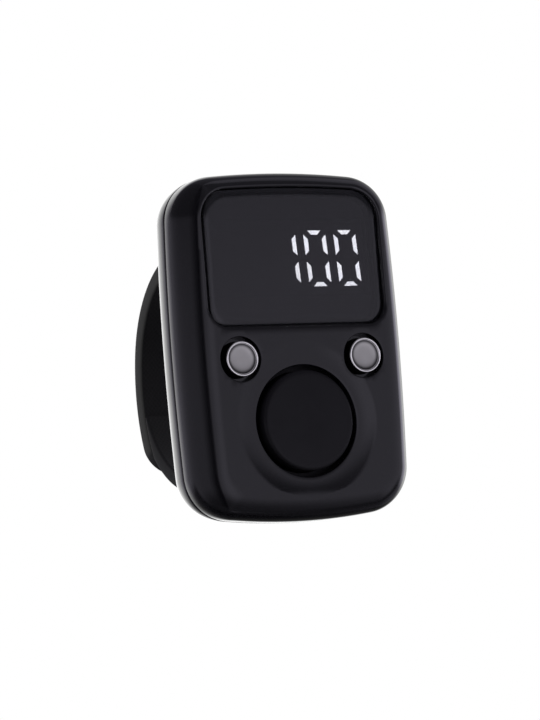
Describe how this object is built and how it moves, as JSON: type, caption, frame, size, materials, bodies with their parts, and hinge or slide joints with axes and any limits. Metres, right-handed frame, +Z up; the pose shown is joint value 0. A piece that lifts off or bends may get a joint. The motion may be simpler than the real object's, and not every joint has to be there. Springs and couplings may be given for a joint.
{
  "type": "digital tasbih counter",
  "caption": "Rounded black finger counter with a lit digit display, a large count button, small metal buttons and a strap loop behind the case.",
  "frame": {"origin": "under the middle of the whole counter, at the level of the bottom of the case", "axes": "+X to the right seen from the front, +Y from the face back through the strap loop, +Z up along the case from the count button to the display"},
  "size_m": [0.0268, 0.0328, 0.038],
  "materials": {
    "black_gloss": "smooth moulded black, glossy",
    "smoked_lens": "smoked clear plastic",
    "tape": "black adhesive tape and foam",
    "reflector": "matte black reflector block",
    "lit": "white diffuser, lit",
    "dark": "white diffuser behind smoke, unlit",
    "board": "green solder mask",
    "chip": "moulded black",
    "switch": "steel-framed switch",
    "stem": "black plunger",
    "count_cap": "fine matte black",
    "bright_metal": "satin dish with a polished rim",
    "steel": "plain steel",
    "pouch": "laminate pouch",
    "lead_red": "red insulation",
    "lead_black": "black insulation",
    "tongue": "black insulator",
    "webbing": "dense woven self-gripping strap"
  },
  "bodies": {
    "case": {"front_shell": "black_gloss", "rear_shell": "black_gloss", "display_lens": "smoked_lens", "lens_tape": "tape", "battery_foam": "tape", "display_housing": "reflector", "lit_segments": "lit", "dark_segments": "dark", "main_board": "board", "controller_chip": "chip", "resistors": "chip", "count_switch_body": "switch", "left_switch_body": "switch", "right_switch_body": "switch", "case_screws": "steel", "upper_strap_pin": "steel", "lower_strap_pin": "steel", "socket_shell": "steel", "battery_cell": "pouch", "battery_lead_positive": "lead_red", "battery_lead_negative": "lead_black", "socket_tongue": "tongue"},
    "count_button_body": {"count_button": "count_cap", "count_switch_stem": "stem"},
    "left_button_body": {"left_button": "bright_metal", "left_switch_stem": "stem"},
    "right_button_body": {"right_button": "bright_metal", "right_switch_stem": "stem"},
    "upper_strap_body": {"upper_strap": "webbing"},
    "lower_strap_body": {"lower_strap": "webbing"}
  },
  "joints": [
    {"name": "count_press", "type": "slide", "parent": "case", "child": "count_button_body", "axis": [0, 1, 0], "range_m": [0, 0.0005], "stiffness_N_per_m": 400},
    {"name": "left_press", "type": "slide", "parent": "case", "child": "left_button_body", "axis": [0, 1, 0], "range_m": [0, 0.0003], "stiffness_N_per_m": 400},
    {"name": "right_press", "type": "slide", "parent": "case", "child": "right_button_body", "axis": [0, 1, 0], "range_m": [0, 0.0003], "stiffness_N_per_m": 400},
    {"name": "upper_strap_swing", "type": "hinge", "parent": "case", "child": "upper_strap_body", "pos_m": [0, -0.00319, 0.02992], "axis": [1, 0, 0], "range_deg": [0, 75]},
    {"name": "lower_strap_swing", "type": "hinge", "parent": "case", "child": "lower_strap_body", "pos_m": [0, -0.00319, 0.00668], "axis": [1, 0, 0], "range_deg": [0, 55]}
  ]
}
